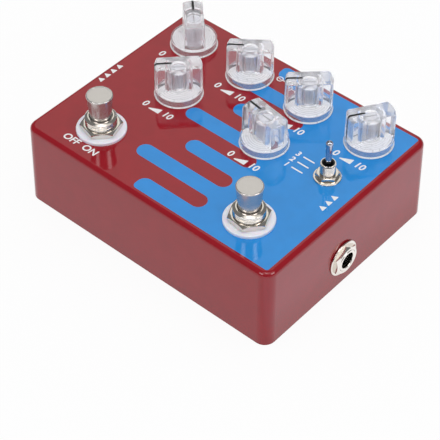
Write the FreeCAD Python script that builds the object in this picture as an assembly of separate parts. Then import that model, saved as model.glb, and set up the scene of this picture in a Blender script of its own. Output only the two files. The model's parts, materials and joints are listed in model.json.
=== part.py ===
import FreeCAD, Part
import math
import os

# A drive and delay pedal: a drafted diecast box with six clear pointer knobs, two stomp
# switches on milky light rings, a three-way lever switch, two jacks and a power socket.
# All sizes are millimetres. X runs along the front edge, Y to the back and Z up.
# The origin is the middle of the underside.

Vector = FreeCAD.Vector
UP = Vector(0, 0, 1)

# How far a cut runs past a face or a joined piece into its neighbour, and what counts as level
OVERCUT = 1.0
LEVEL_TOLERANCE = 1e-4

# Diecast box
BOX_LENGTH = 119.5
BOX_WIDTH = 94.0
BOX_HEIGHT = 36.0
BOX_DRAFT = 0.6
CORNER_RADIUS = 4.6
TOP_EDGE_RADIUS = 2.0
WALL = 2.2
ROOF = 2.4
CORNER_BLOCK = 7.0
HOLE_CLEARANCE = 0.2

# Base plate, let into the mouth of the box against the corner blocks
PLATE_THICKNESS = 1.6
PLATE_GAP = 0.2

# Layout on the lid
KNOB_SIDE_MARGIN = 16.55
KNOB_BACK_MARGIN = 16.4
SECOND_ROW_DROP = 25.7
LEFT_KNOB_OFFSET = 0.8
SWITCH_SIDE_MARGIN = 23.75
SWITCH_FRONT_MARGIN = 17.85
LEVER_LIFT = 1.1

# Potentiometers
POT_WIDTH = 9.6
POT_DEPTH = 11.0
POT_HEIGHT = 6.6
SHAFT_RADIUS = 3.0
SHAFT_SPLINES = 12
SHAFT_HEIGHT = 11.6
SHAFT_SEAT_DEPTH = 4.6
SHAFT_RUNNING_CLEARANCE = 0.06

# Knobs: a round skirt that carries a pointer bar as long as the skirt is wide
KNOB_GAP = 1.0
KNOB_RADIUS = 9.5
KNOB_HEIGHT = 14.0
SKIRT_HEIGHT = 2.8
BAR_FOOT_WIDTH = 8.3
BAR_TOP_WIDTH = 7.7
KNOB_BORE_CLEARANCE = 0.04

# Pointer angles, counter-clockwise from +X
KNOB_ANGLES = {
    "mix": 135.0,
    "repeat": 217.0,
    "drive": 223.0,
    "tone": 237.5,
    "time": 226.0,
    "level": 171.0,
}

# Stomp switches
RING_WIDTH = 3.55
RING_THICKNESS = 1.2
SWITCH_NUT_WALL = 1.0
SWITCH_NUT_THICKNESS = 2.3
SWITCH_NUT_TURNS = {"delay": -14.0, "drive": -6.5}
THREAD_CLEARANCE = 0.05
BUSH_RADIUS = 6.0
BUSH_BORE_RADIUS = 4.45
BUSH_HEIGHT = 7.0
FRAME_WIDTH = 17.4
FRAME_HEIGHT = 5.0
BASE_WIDTH = 16.6
BASE_HEIGHT = 8.0
BASE_CHAMFER = 1.0
CAP_RADIUS = 4.9
CAP_HEIGHT = 10.3
CAP_SINK = 0.4
BUTTON_TRAVEL = 2.5
CAP_FOOT_STEP = 0.39
STEM_CLEARANCE = 0.06
FLOOR_CLEARANCE = 0.5
LUG_PITCH = 4.8
LUG_WIDTH = 2.2
LUG_THICKNESS = 0.6
LUG_LENGTH = 3.6

# Lever switch
LEVER_CASE_LENGTH = 12.7
LEVER_CASE_WIDTH = 6.9
LEVER_CASE_HEIGHT = 8.9
LEVER_BUSH_BORE = 2.45
LEVER_BUSH_WALL = 0.5
LEVER_BUSH_HEIGHT = 7.2
LEVER_PIVOT_LIFT = 3.5
LEVER_AXLE_RADIUS = 0.8
LEVER_AXLE_CLEARANCE = 0.03
LEVER_RADIUS = 1.35
LEVER_TIP_LIFT = 17.5
LEVER_TAIL_LENGTH = 4.6
LEVER_NUT_WALL = 1.05
LEVER_NUT_THICKNESS = 2.5
LEVER_PIN_PITCH_X = 4.2
LEVER_PIN_PITCH_Y = 4.7
LEVER_PIN_WIDTH = 1.6
LEVER_PIN_THICKNESS = 0.7
LEVER_PIN_LENGTH = 3.4

# Jacks, alike on both ends
JACK_Y = -4.0
JACK_HEIGHT = 13.0
JACK_BORE_RADIUS = 3.25
JACK_SLEEVE_WALL = 1.25
JACK_SLEEVE_PROUD = 2.5
JACK_NUT_WALL = 1.1
JACK_NUT_THICKNESS = 2.2
JACK_BODY_WIDTH = 14.0
JACK_BODY_HEIGHT = 12.0
JACK_BODY_LENGTH = 24.0
JACK_BODY_CHAMFER = 0.8
JACK_CAVITY_CLEARANCE = 0.35
JACK_CAVITY_LENGTH = 19.0
CONTACT_THICKNESS = 0.5
CONTACT_WIDTH = 3.0
CONTACT_SLOT_CLEARANCE = 0.05
TIP_CONTACT_DEPTH = 16.5
SLEEVE_CONTACT_DEPTH = 9.5
CONTACT_LUG_LENGTH = 2.6

# Power socket behind the back wall
SOCKET_WIDTH = 9.0
SOCKET_LENGTH = 14.0
SOCKET_HEIGHT = 11.0
SOCKET_AXIS_DROP = 6.5
SOCKET_BORE_RADIUS = 3.1
SOCKET_BORE_DEPTH = 9.5
SOCKET_WALL_GAP = 0.2
SOCKET_HOLE_RADIUS = 4.3

# Board and what stands on its underside
BOARD_THICKNESS = 1.6
BOARD_SIDE_MARGIN = 6.5
BOARD_BACK_MARGIN = 4.2
BOARD_SWITCH_GAP = 1.0
BOARD_WINDOW_CLEARANCE = 1.0
CHIP_LENGTH = 19.2
SMALL_CHIP_LENGTH = 9.6
CHIP_WIDTH = 6.4
CHIP_HEIGHT = 3.2
CAPACITOR_LENGTH = 7.2
CAPACITOR_WIDTH = 3.5
CAPACITOR_HEIGHT = 7.4
CAPACITOR_PITCH = 5.5

# Flat leads from the jacks and the switches to the board
LEAD_THICKNESS = 0.9
LEAD_RUN = 4.0

DRAFT_SLOPE = BOX_DRAFT / BOX_HEIGHT
LID = BOX_HEIGHT
CEILING = BOX_HEIGHT - ROOF
BOARD_TOP = CEILING - POT_HEIGHT
BOARD_UNDERSIDE = BOARD_TOP - BOARD_THICKNESS

# Radii that follow from a bore and the wall round it, and nuts from the thread inside them
STEM_RADIUS = BUSH_BORE_RADIUS - STEM_CLEARANCE
CAP_FOOT_RADIUS = STEM_RADIUS - CAP_FOOT_STEP
RING_RADIUS = BUSH_RADIUS + RING_WIDTH
SWITCH_NUT_FLATS = 2 * (BUSH_RADIUS + SWITCH_NUT_WALL)
LEVER_BUSH_RADIUS = LEVER_BUSH_BORE + LEVER_BUSH_WALL
LEVER_NUT_FLATS = 2 * (LEVER_BUSH_RADIUS + LEVER_NUT_WALL)
JACK_SLEEVE_RADIUS = JACK_BORE_RADIUS + JACK_SLEEVE_WALL
JACK_NUT_FLATS = 2 * (JACK_SLEEVE_RADIUS + JACK_NUT_WALL)
JACK_CAVITY_RADIUS = JACK_BORE_RADIUS + JACK_CAVITY_CLEARANCE


def box(x0, x1, y0, y1, z0, z1):
    return Part.makeBox(x1 - x0, y1 - y0, z1 - z0, Vector(x0, y0, z0))


def block(cx, cy, z0, z1, length, width):
    return box(cx - length / 2, cx + length / 2, cy - width / 2, cy + width / 2, z0, z1)


def cylinder(cx, cy, z0, z1, radius):
    return Part.makeCylinder(radius, z1 - z0, Vector(cx, cy, z0))


def tube(cx, cy, z0, z1, outer, inner):
    return cylinder(cx, cy, z0, z1, outer).cut(cylinder(cx, cy, z0, z1, inner))


def lathe(profile, cx=0.0, cy=0.0):
    """Turns a closed outline of (radius, height) points about an upright axis."""
    points = [Vector(r, 0, z) for r, z in profile]
    face = Part.Face(Part.makePolygon(points + points[:1]))
    solid = face.revolve(Vector(0, 0, 0), UP, 360)
    solid.translate(Vector(cx, cy, 0))
    return solid


def prism(points, depth):
    """Extrudes a closed outline of points by the vector depth."""
    return Part.Face(Part.makePolygon(points + points[:1])).extrude(depth)


def corner_radius(flats):
    """The radius to the corners of a hexagon that is flats wide across its flats."""
    return flats / math.sqrt(3)


def hex_nut(cx, cy, z0, flats, thickness, bore, turn=0.0):
    corner = corner_radius(flats)
    angles = [math.radians(60 * k + turn) for k in range(6)]
    ring = [Vector(cx + corner * math.cos(a), cy + corner * math.sin(a), z0) for a in angles]
    nut = prism(ring, Vector(0, 0, thickness))
    return nut.cut(cylinder(cx, cy, z0, z0 + thickness, bore))


def wall_x(z):
    """Where the outer face of the right wall lies at height z."""
    return BOX_LENGTH / 2 - DRAFT_SLOPE * z


def wall_y(z):
    """Where the outer face of the back wall lies at height z."""
    return BOX_WIDTH / 2 - DRAFT_SLOPE * z


# Places on the lid
OUTER_KNOB_X = BOX_LENGTH / 2 - KNOB_SIDE_MARGIN
KNOB_PITCH = 2 * OUTER_KNOB_X / 3
BACK_ROW_Y = BOX_WIDTH / 2 - KNOB_BACK_MARGIN
FRONT_ROW_Y = BACK_ROW_Y - SECOND_ROW_DROP
SWITCH_X = BOX_LENGTH / 2 - SWITCH_SIDE_MARGIN
SWITCH_Y = -(BOX_WIDTH / 2 - SWITCH_FRONT_MARGIN)
LEVER_X = OUTER_KNOB_X
LEVER_Y = FRONT_ROW_Y + LEVER_LIFT
LEVER_PIVOT = LID + LEVER_PIVOT_LIFT

KNOBS = {
    "mix": (-OUTER_KNOB_X, BACK_ROW_Y),
    "repeat": (-KNOB_PITCH / 2, BACK_ROW_Y),
    "drive": (KNOB_PITCH / 2, BACK_ROW_Y),
    "tone": (OUTER_KNOB_X, BACK_ROW_Y),
    "time": (-KNOB_PITCH + LEFT_KNOB_OFFSET, FRONT_ROW_Y),
    "level": (KNOB_PITCH / 2, FRONT_ROW_Y),
}
SWITCHES = {"delay": (-SWITCH_X, SWITCH_Y), "drive": (SWITCH_X, SWITCH_Y)}

# Levels inside the stomp switches
BUSH_TOP = LID + BUSH_HEIGHT
FRAME_FOOT = CEILING - FRAME_HEIGHT
BASE_FOOT = FRAME_FOOT - BASE_HEIGHT
STEM_FOOT = CEILING + BUTTON_TRAVEL
STEM_FLOOR = CEILING - FLOOR_CLEARANCE
CAP_FOOT = BUSH_TOP - CAP_SINK

# Places along X of the right-hand jack
JACK_INNER_X = wall_x(JACK_HEIGHT + JACK_BODY_HEIGHT / 2) - WALL
JACK_BACK_X = JACK_INNER_X - JACK_BODY_LENGTH
JACK_NUT_X = wall_x(JACK_HEIGHT - corner_radius(JACK_NUT_FLATS))
JACK_MOUTH_X = JACK_NUT_X + JACK_SLEEVE_PROUD

# The board's front edge lies just behind the stomp switches
BOARD_FRONT = SWITCH_Y + BASE_WIDTH / 2 + BOARD_SWITCH_GAP

# The power socket hangs from the board with its face at the back wall
SOCKET_AXIS_Z = BOARD_UNDERSIDE - SOCKET_AXIS_DROP
SOCKET_FACE_Y = wall_y(BOARD_UNDERSIDE) - WALL - SOCKET_WALL_GAP


def drafted_block(inset, z0, z1):
    """A block whose four walls stand inset from the box's and lean in with the draft."""
    reach = BOX_LENGTH
    low_x = wall_x(z0) - inset
    high_x = wall_x(z1) - inset
    low_y = wall_y(z0) - inset
    high_y = wall_y(z1) - inset
    side_on = [Vector(-low_x, -reach, z0), Vector(low_x, -reach, z0),
               Vector(high_x, -reach, z1), Vector(-high_x, -reach, z1)]
    end_on = [Vector(-reach, -low_y, z0), Vector(-reach, low_y, z0),
              Vector(-reach, high_y, z1), Vector(-reach, -high_y, z1)]
    along_y = prism(side_on, Vector(0, 2 * reach, 0))
    along_x = prism(end_on, Vector(2 * reach, 0, 0))
    return along_y.common(along_x)


def edges_at(solid, z):
    """The edges that lie level at height z."""
    return [e for e in solid.Edges
            if abs(e.BoundBox.ZMin - z) < LEVEL_TOLERANCE and e.BoundBox.ZLength < LEVEL_TOLERANCE]


def rising_edges(solid, height):
    """The edges that climb more than height."""
    return [e for e in solid.Edges if e.BoundBox.ZLength > height]


def enclosure():
    shell = drafted_block(0, 0, BOX_HEIGHT)
    shell = shell.makeFillet(CORNER_RADIUS, rising_edges(shell, BOX_HEIGHT / 2))
    shell = shell.makeFillet(TOP_EDGE_RADIUS, edges_at(shell, BOX_HEIGHT))
    cavity = drafted_block(WALL, -OVERCUT, CEILING)
    corner_x = BOX_LENGTH / 2 - WALL - CORNER_BLOCK / 2
    corner_y = BOX_WIDTH / 2 - WALL - CORNER_BLOCK / 2
    for sx in (-1, 1):
        for sy in (-1, 1):
            solid_corner = block(sx * corner_x, sy * corner_y, PLATE_THICKNESS, BOX_HEIGHT,
                                 CORNER_BLOCK, CORNER_BLOCK)
            cavity = cavity.cut(solid_corner)
    return shell.cut([cavity] + lid_holes() + wall_holes())


def lid_holes():
    """The holes for the knobs' shafts, the stomp switches' bushes and the lever's bush."""
    radii = {place: SHAFT_RADIUS + 2 * HOLE_CLEARANCE for place in KNOBS.values()}
    radii.update({place: BUSH_RADIUS + HOLE_CLEARANCE for place in SWITCHES.values()})
    radii[(LEVER_X, LEVER_Y)] = LEVER_BUSH_RADIUS + HOLE_CLEARANCE
    return [cylinder(x, y, CEILING - OVERCUT, LID + OVERCUT, r) for (x, y), r in radii.items()]


def wall_holes():
    """The jack holes through both ends and the power socket's hole through the back."""
    ends = Part.makeCylinder(
        JACK_SLEEVE_RADIUS + HOLE_CLEARANCE, 2 * BOX_LENGTH,
        Vector(-BOX_LENGTH, JACK_Y, JACK_HEIGHT), Vector(1, 0, 0),
    )
    back = Part.makeCylinder(
        SOCKET_HOLE_RADIUS, BOX_WIDTH, Vector(0, SOCKET_FACE_Y, SOCKET_AXIS_Z), Vector(0, 1, 0)
    )
    return [ends, back]


def base_plate():
    return drafted_block(WALL + PLATE_GAP, 0, PLATE_THICKNESS)


def knob(name):
    """A knob made at the origin with its pointer along +X, then turned and placed."""
    foot = LID + KNOB_GAP
    rim = foot + SKIRT_HEIGHT
    top = foot + KNOB_HEIGHT
    body = cylinder(0, 0, foot, top, KNOB_RADIUS)
    for side in (-1, 1):
        body = body.cut(beside_bar(side, rim, top))
    body = body.cut(splined_rod(foot, LID + SHAFT_HEIGHT, KNOB_BORE_CLEARANCE))
    return on_its_pot(body, name)


def beside_bar(side, rim, top):
    """What is cut away above the skirt on one side of the bar, whose flanks lean in."""
    far = side * (KNOB_RADIUS + OVERCUT)
    outline = [Vector(-KNOB_RADIUS, side * BAR_FOOT_WIDTH / 2, rim),
               Vector(-KNOB_RADIUS, far, rim),
               Vector(-KNOB_RADIUS, far, top),
               Vector(-KNOB_RADIUS, side * BAR_TOP_WIDTH / 2, top)]
    return prism(outline, Vector(2 * KNOB_RADIUS, 0, 0))


def splined_rod(z0, z1, clearance):
    """The shaft's splined section, larger by clearance, with one flat for each spline."""
    radius = SHAFT_RADIUS + clearance
    angles = [2 * math.pi * k / SHAFT_SPLINES for k in range(SHAFT_SPLINES)]
    ring = [Vector(radius * math.cos(a), radius * math.sin(a), z0) for a in angles]
    return prism(ring, Vector(0, 0, z1 - z0))


def on_its_pot(solid, name):
    """Turns a piece from +X to its knob's pointer angle and moves it to its place."""
    solid.rotate(Vector(0, 0, 0), UP, KNOB_ANGLES[name])
    solid.translate(Vector(*KNOBS[name], 0))
    return solid


def pot_shaft(name):
    shaft = splined_rod(CEILING - SHAFT_SEAT_DEPTH, LID + SHAFT_HEIGHT, 0)
    return on_its_pot(shaft, name)


def pot_body(x, y):
    """A pot's body, with a seat in its top whose flats clear the turning shaft's corners."""
    body = block(x, y, BOARD_TOP, CEILING, POT_WIDTH, POT_DEPTH)
    flats_radius = SHAFT_RADIUS + SHAFT_RUNNING_CLEARANCE
    seat_radius = flats_radius / math.cos(math.pi / SHAFT_SPLINES)
    seat = splined_rod(CEILING - SHAFT_SEAT_DEPTH, CEILING, seat_radius - SHAFT_RADIUS)
    seat.translate(Vector(x, y, 0))
    return body.cut(seat)


def light_ring(x, y):
    """A milky ring under the nut that spreads the status light."""
    return tube(x, y, LID, LID + RING_THICKNESS, RING_RADIUS, BUSH_RADIUS + THREAD_CLEARANCE)


def switch_frame(x, y):
    """The metal frame of a stomp switch under the lid, with its bush through the lid."""
    frame = block(x, y, FRAME_FOOT, CEILING, FRAME_WIDTH, FRAME_WIDTH)
    frame = frame.fuse(cylinder(x, y, CEILING - OVERCUT, BUSH_TOP, BUSH_RADIUS))
    return frame.cut(cylinder(x, y, STEM_FLOOR, BUSH_TOP, BUSH_BORE_RADIUS))


def switch_base(x, y):
    """The moulded base below the frame."""
    base = block(x, y, BASE_FOOT, FRAME_FOOT, BASE_WIDTH, BASE_WIDTH)
    return base.makeChamfer(BASE_CHAMFER, rising_edges(base, BASE_HEIGHT / 2))


def switch_lugs(x, y):
    steps = (-LUG_PITCH, 0, LUG_PITCH)
    return [block(x + dx, y + dy, BASE_FOOT - LUG_LENGTH, BASE_FOOT, LUG_WIDTH, LUG_THICKNESS)
            for dx in steps for dy in steps]


def switch_button(name):
    """The tapered cap on its stem, which slides in the bush."""
    profile = [
        (0, STEM_FOOT),
        (STEM_RADIUS, STEM_FOOT),
        (STEM_RADIUS, CAP_FOOT),
        (CAP_FOOT_RADIUS, CAP_FOOT),
        (CAP_RADIUS, CAP_FOOT + CAP_HEIGHT),
        (0, CAP_FOOT + CAP_HEIGHT),
    ]
    return lathe(profile, *SWITCHES[name])


def switch_nut(name):
    x, y = SWITCHES[name]
    return hex_nut(x, y, LID + RING_THICKNESS, SWITCH_NUT_FLATS, SWITCH_NUT_THICKNESS,
                   BUSH_RADIUS + THREAD_CLEARANCE, SWITCH_NUT_TURNS[name])


def lever_case():
    """The lever switch's case below the lid with its bush through the lid."""
    case = block(LEVER_X, LEVER_Y, CEILING - LEVER_CASE_HEIGHT, CEILING, LEVER_CASE_WIDTH,
                 LEVER_CASE_LENGTH)
    top = LID + LEVER_BUSH_HEIGHT
    case = case.fuse(cylinder(LEVER_X, LEVER_Y, CEILING - OVERCUT, top, LEVER_BUSH_RADIUS))
    floor = LEVER_PIVOT - LEVER_TAIL_LENGTH - FLOOR_CLEARANCE
    return case.cut(cylinder(LEVER_X, LEVER_Y, floor, top, LEVER_BUSH_BORE))


def lever():
    """A round bat on a cross axle, which turns inside the bush above the box."""
    foot = LEVER_PIVOT - LEVER_TAIL_LENGTH
    bat = cylinder(LEVER_X, LEVER_Y, foot, LID + LEVER_TIP_LIFT, LEVER_RADIUS)
    reach = math.sqrt((LEVER_BUSH_BORE - LEVER_AXLE_CLEARANCE) ** 2 - LEVER_AXLE_RADIUS ** 2)
    axle = Part.makeCylinder(LEVER_AXLE_RADIUS, 2 * reach,
                             Vector(LEVER_X - reach, LEVER_Y, LEVER_PIVOT), Vector(1, 0, 0))
    return bat.fuse(axle)


def lever_nut():
    return hex_nut(LEVER_X, LEVER_Y, LID, LEVER_NUT_FLATS, LEVER_NUT_THICKNESS,
                   LEVER_BUSH_RADIUS + THREAD_CLEARANCE)


def lever_pins():
    foot = CEILING - LEVER_CASE_HEIGHT
    return [block(LEVER_X + i * LEVER_PIN_PITCH_X / 2, LEVER_Y + j * LEVER_PIN_PITCH_Y,
                  foot - LEVER_PIN_LENGTH, foot, LEVER_PIN_THICKNESS, LEVER_PIN_WIDTH)
            for i in (-1, 1) for j in (-1, 0, 1)]


def lying(solid):
    """Lays a piece that was made about the upright axis along X at the jacks' height."""
    solid.rotate(Vector(0, 0, 0), Vector(0, 1, 0), 90)
    solid.translate(Vector(0, JACK_Y, JACK_HEIGHT))
    return solid


def both_ends(solid):
    """A piece of the right-hand jack and its like, turned half round, on the left."""
    twin = solid.copy()
    twin.rotate(Vector(0, JACK_Y, 0), UP, 180)
    return [solid, twin]


def jack_sleeve():
    return lying(tube(0, 0, JACK_INNER_X, JACK_MOUTH_X, JACK_SLEEVE_RADIUS, JACK_BORE_RADIUS))


def contact_strip(depth, side, gap):
    """A contact's room along one side of the plug's way, or with no gap the contact itself."""
    half = CONTACT_WIDTH / 2 + gap
    near = JACK_Y + side * (JACK_CAVITY_RADIUS - gap)
    far = JACK_Y + side * (JACK_CAVITY_RADIUS + CONTACT_THICKNESS + gap)
    back = JACK_BACK_X - (0 if gap else CONTACT_LUG_LENGTH)
    return box(back, JACK_INNER_X - depth + gap, min(near, far), max(near, far),
               JACK_HEIGHT - half, JACK_HEIGHT + half)


def jack_body():
    """The moulded body behind the wall, with the plug's way and slots for two contacts."""
    body = box(JACK_BACK_X, JACK_INNER_X, JACK_Y - JACK_BODY_WIDTH / 2, JACK_Y + JACK_BODY_WIDTH / 2,
               JACK_HEIGHT - JACK_BODY_HEIGHT / 2, JACK_HEIGHT + JACK_BODY_HEIGHT / 2)
    long_edges = [e for e in body.Edges if e.BoundBox.XLength > 1]
    body = body.makeChamfer(JACK_BODY_CHAMFER, long_edges)
    way = lying(cylinder(0, 0, JACK_INNER_X - JACK_CAVITY_LENGTH, JACK_INNER_X, JACK_CAVITY_RADIUS))
    slots = [contact_strip(TIP_CONTACT_DEPTH, 1, CONTACT_SLOT_CLEARANCE),
             contact_strip(SLEEVE_CONTACT_DEPTH, -1, CONTACT_SLOT_CLEARANCE)]
    return body.cut([way] + slots)


def jack_nut():
    return lying(hex_nut(0, 0, JACK_NUT_X, JACK_NUT_FLATS, JACK_NUT_THICKNESS,
                         JACK_SLEEVE_RADIUS + THREAD_CLEARANCE))


def power_socket():
    body = box(-SOCKET_WIDTH / 2, SOCKET_WIDTH / 2, SOCKET_FACE_Y - SOCKET_LENGTH, SOCKET_FACE_Y,
               BOARD_UNDERSIDE - SOCKET_HEIGHT, BOARD_UNDERSIDE)
    floor = Vector(0, SOCKET_FACE_Y - SOCKET_BORE_DEPTH, SOCKET_AXIS_Z)
    return body.cut(Part.makeCylinder(SOCKET_BORE_RADIUS, SOCKET_BORE_DEPTH, floor, Vector(0, 1, 0)))


def main_board():
    half = BOX_LENGTH / 2 - BOARD_SIDE_MARGIN
    back = BOX_WIDTH / 2 - BOARD_BACK_MARGIN
    board = box(-half, half, BOARD_FRONT, back, BOARD_UNDERSIDE, BOARD_TOP)
    window = block(LEVER_X, LEVER_Y, BOARD_UNDERSIDE, BOARD_TOP,
                   LEVER_CASE_WIDTH + 2 * BOARD_WINDOW_CLEARANCE,
                   LEVER_CASE_LENGTH + 2 * BOARD_WINDOW_CLEARANCE)
    notch = 2 * (WALL + CORNER_BLOCK + BOARD_WINDOW_CLEARANCE)
    corners = [block(sx * BOX_LENGTH / 2, BOX_WIDTH / 2, BOARD_UNDERSIDE, BOARD_TOP, notch, notch)
               for sx in (-1, 1)]
    return board.cut([window] + corners)


def chips():
    """Three chips on the board's underside."""
    middle = (FRONT_ROW_Y + BACK_ROW_Y) / 2
    places = [(-KNOB_PITCH, middle, CHIP_LENGTH), (0, FRONT_ROW_Y, SMALL_CHIP_LENGTH),
              (KNOB_PITCH, middle, SMALL_CHIP_LENGTH)]
    return [block(x, y, BOARD_UNDERSIDE - CHIP_HEIGHT, BOARD_UNDERSIDE, length, CHIP_WIDTH)
            for x, y, length in places]


def capacitors():
    """A row of film capacitors behind the middle of the board."""
    middle = (FRONT_ROW_Y + BACK_ROW_Y) / 2
    return [block(0, middle + k * CAPACITOR_PITCH, BOARD_UNDERSIDE - CAPACITOR_HEIGHT,
                  BOARD_UNDERSIDE, CAPACITOR_LENGTH, CAPACITOR_WIDTH) for k in (-0.5, 0.5, 1.5)]


def folded_lead(start, run, level, width):
    """A flat lead that runs level from start, folds and climbs to the board.

    It lies in the XZ plane about y = 0, and a negative run goes towards -X.
    """
    half = LEAD_THICKNESS / 2
    way = math.copysign(1, run)
    inner = start + run - way * half
    outer = start + run + way * half
    outline = [Vector(x, -width / 2, z) for x, z in (
        (start, level - half), (outer, level - half), (outer, BOARD_UNDERSIDE),
        (inner, BOARD_UNDERSIDE), (inner, level + half), (start, level + half))]
    return prism(outline, Vector(0, width, 0))


def jack_lead():
    """From the lugs behind a jack inwards and up to the board."""
    lead = folded_lead(JACK_BACK_X - CONTACT_LUG_LENGTH, -LEAD_RUN, JACK_HEIGHT,
                       2 * (JACK_CAVITY_RADIUS + CONTACT_THICKNESS))
    lead.translate(Vector(0, JACK_Y, 0))
    return lead


def switch_lead(x, y):
    """From a stomp switch's back row of lugs up to the board, flush with its front edge."""
    start = LUG_PITCH + LUG_THICKNESS / 2
    run = BOARD_FRONT + LEAD_THICKNESS / 2 - y - start
    lead = folded_lead(start, run, BASE_FOOT - LUG_LENGTH / 2, 2 * LUG_PITCH + LUG_WIDTH)
    lead.rotate(Vector(0, 0, 0), UP, 90)
    lead.translate(Vector(x, y, 0))
    return lead


def pieces():
    """Every node's name with its solid or list of solids."""
    made = {
        "enclosure": enclosure(),
        "base_plate": base_plate(),
        "pot_bodies": [pot_body(x, y) for x, y in KNOBS.values()],
        "light_rings": [light_ring(x, y) for x, y in SWITCHES.values()],
        "switch_nuts": [switch_nut(name) for name in SWITCHES],
        "switch_frames": [switch_frame(x, y) for x, y in SWITCHES.values()],
        "switch_bases": [switch_base(x, y) for x, y in SWITCHES.values()],
        "switch_lugs": [lug for x, y in SWITCHES.values() for lug in switch_lugs(x, y)],
        "switch_leads": [switch_lead(x, y) for x, y in SWITCHES.values()],
        "lever_case": lever_case(),
        "lever": lever(),
        "lever_nut": lever_nut(),
        "lever_pins": lever_pins(),
        "jack_sleeves": both_ends(jack_sleeve()),
        "jack_bodies": both_ends(jack_body()),
        "jack_contacts": both_ends(contact_strip(TIP_CONTACT_DEPTH, 1, 0))
        + both_ends(contact_strip(SLEEVE_CONTACT_DEPTH, -1, 0)),
        "jack_nuts": both_ends(jack_nut()),
        "jack_leads": both_ends(jack_lead()),
        "power_socket": power_socket(),
        "main_board": main_board(),
        "chips": chips(),
        "capacitors": capacitors(),
    }
    for name in KNOBS:
        made[name + "_knob"] = knob(name)
        made[name + "_pot_shaft"] = pot_shaft(name)
    for name in SWITCHES:
        made[name + "_switch_button"] = switch_button(name)
    return made


def main():
    os.makedirs("parts", exist_ok=True)
    for node, made in pieces().items():
        shape = Part.makeCompound(made) if isinstance(made, list) else made
        shape.exportStep("parts/" + node + ".step")
        print(node, len(shape.Solids), round(shape.Volume, 1), shape.isValid())


main()
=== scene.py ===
import json
import math

import bmesh
import bpy
from bpy.props import FloatProperty, FloatVectorProperty, IntProperty, PointerProperty
from bpy.types import NodeSocket, Operator, Panel, PropertyGroup
from mathutils import Matrix, Vector

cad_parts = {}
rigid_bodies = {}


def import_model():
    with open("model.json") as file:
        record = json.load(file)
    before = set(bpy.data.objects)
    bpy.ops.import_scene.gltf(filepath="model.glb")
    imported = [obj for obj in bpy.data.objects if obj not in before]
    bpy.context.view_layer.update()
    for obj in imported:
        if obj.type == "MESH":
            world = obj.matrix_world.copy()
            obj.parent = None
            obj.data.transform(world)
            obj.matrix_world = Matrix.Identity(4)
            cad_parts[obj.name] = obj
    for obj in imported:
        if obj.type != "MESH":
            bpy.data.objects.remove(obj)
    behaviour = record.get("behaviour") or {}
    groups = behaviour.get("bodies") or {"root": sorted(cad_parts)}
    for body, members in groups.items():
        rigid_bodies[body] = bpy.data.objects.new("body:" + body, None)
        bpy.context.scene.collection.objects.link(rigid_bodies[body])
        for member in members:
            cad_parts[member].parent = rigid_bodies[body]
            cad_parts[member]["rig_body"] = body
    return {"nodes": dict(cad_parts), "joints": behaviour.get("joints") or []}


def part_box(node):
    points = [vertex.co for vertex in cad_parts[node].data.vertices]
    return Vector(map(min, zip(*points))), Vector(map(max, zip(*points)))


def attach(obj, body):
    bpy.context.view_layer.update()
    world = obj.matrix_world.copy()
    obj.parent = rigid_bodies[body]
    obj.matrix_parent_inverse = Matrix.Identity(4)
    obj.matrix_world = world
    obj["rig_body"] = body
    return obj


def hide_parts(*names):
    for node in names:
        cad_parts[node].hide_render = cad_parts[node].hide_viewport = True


bl_info = {
    "name": "Drive and Delay Pedal",
    "version": (1, 0, 0),
    "blender": (4, 5, 0),
    "location": "3D View > Sidebar > Pedal",
    "description": "Builds the finished look of a drive and delay pedal on its packed frame",
    "category": "Object",
}

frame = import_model()

MM = 0.001
ON_AXIS = 1e-7
WELD = 1e-8
SHARP_ANGLE = math.radians(32)
QUARTER = math.pi / 2
ROUND_STEPS = 128
SMALL_STEPS = 64
NUT_STEPS = 120

# How far a round piece and a piece's top stay inside the node that they stand for
SIDE_GAP = 0.02 * MM
TOP_GAP = 0.05 * MM

LID_THICKNESS = 2.4 * MM
LID_EDGE = 2.6 * MM

# A knob's pointer stands this many degrees from +X when it is turned fully down
FULL_DOWN_POINTER = 240.0


def middle_of(node):
    low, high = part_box(node)
    return (low + high) / 2


KNOBS = sorted(n.removesuffix("_knob") for n in frame["nodes"] if n.endswith("_knob"))
SWITCHES = sorted(
    n.removesuffix("_switch_button") for n in frame["nodes"] if n.endswith("_switch_button")
)
SWITCH_X = middle_of("drive_switch_button").x
BOX_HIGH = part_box("enclosure")[1]
LID = BOX_HIGH.z
CEILING = LID - LID_THICKNESS


def length(name, description, millimetres):
    """A size that a user may change, given here in millimetres and held in metres."""
    return FloatProperty(name=name, description=description, default=millimetres * MM,
                         unit="LENGTH", precision=5)


def angle(name, description, degrees):
    return FloatProperty(name=name, description=description, default=math.radians(degrees),
                         unit="ROTATION")


def factor(name, description, value):
    return FloatProperty(name=name, description=description, default=value, min=0.0, precision=3)


def colour(name, description, red, green, blue):
    return FloatVectorProperty(name=name, description=description, size=4, min=0.0, max=1.0,
                               default=(red, green, blue, 1.0), subtype="COLOR")


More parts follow.
